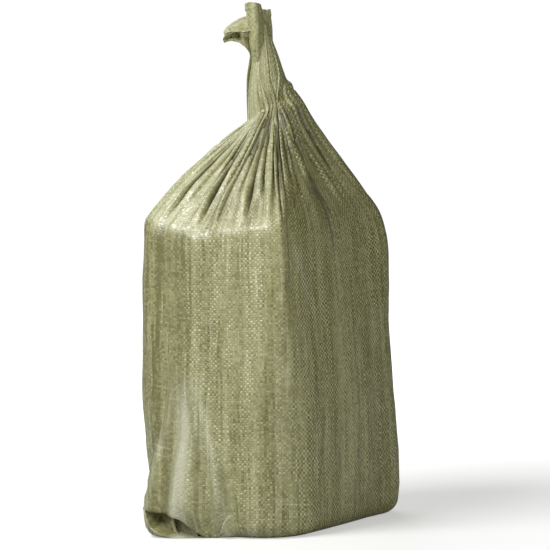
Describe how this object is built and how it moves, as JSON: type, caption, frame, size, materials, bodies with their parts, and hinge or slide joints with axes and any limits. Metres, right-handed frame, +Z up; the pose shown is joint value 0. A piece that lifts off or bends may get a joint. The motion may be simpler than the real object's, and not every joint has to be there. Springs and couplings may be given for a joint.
{
  "type": "rubble sack",
  "caption": "Filled woven plastic sack for rubble, standing on its base with its slack cloth gathered into an upright neck.",
  "frame": {"origin": "on the floor, at the middle of the flat base, under the middle of the load", "axes": "+Z up along the neck; -Y is the sack's front face and +X the side face that the picture also shows; the tucked bottom corner stands out at the front left"},
  "size_m": [0.2536, 0.3547, 0.7],
  "materials": {
    "woven_cloth": "semi-gloss woven polypropylene tape, plain weave, olive green"
  },
  "bodies": {
    "root": {"woven_sack": "woven_cloth"}
  },
  "joints": []
}
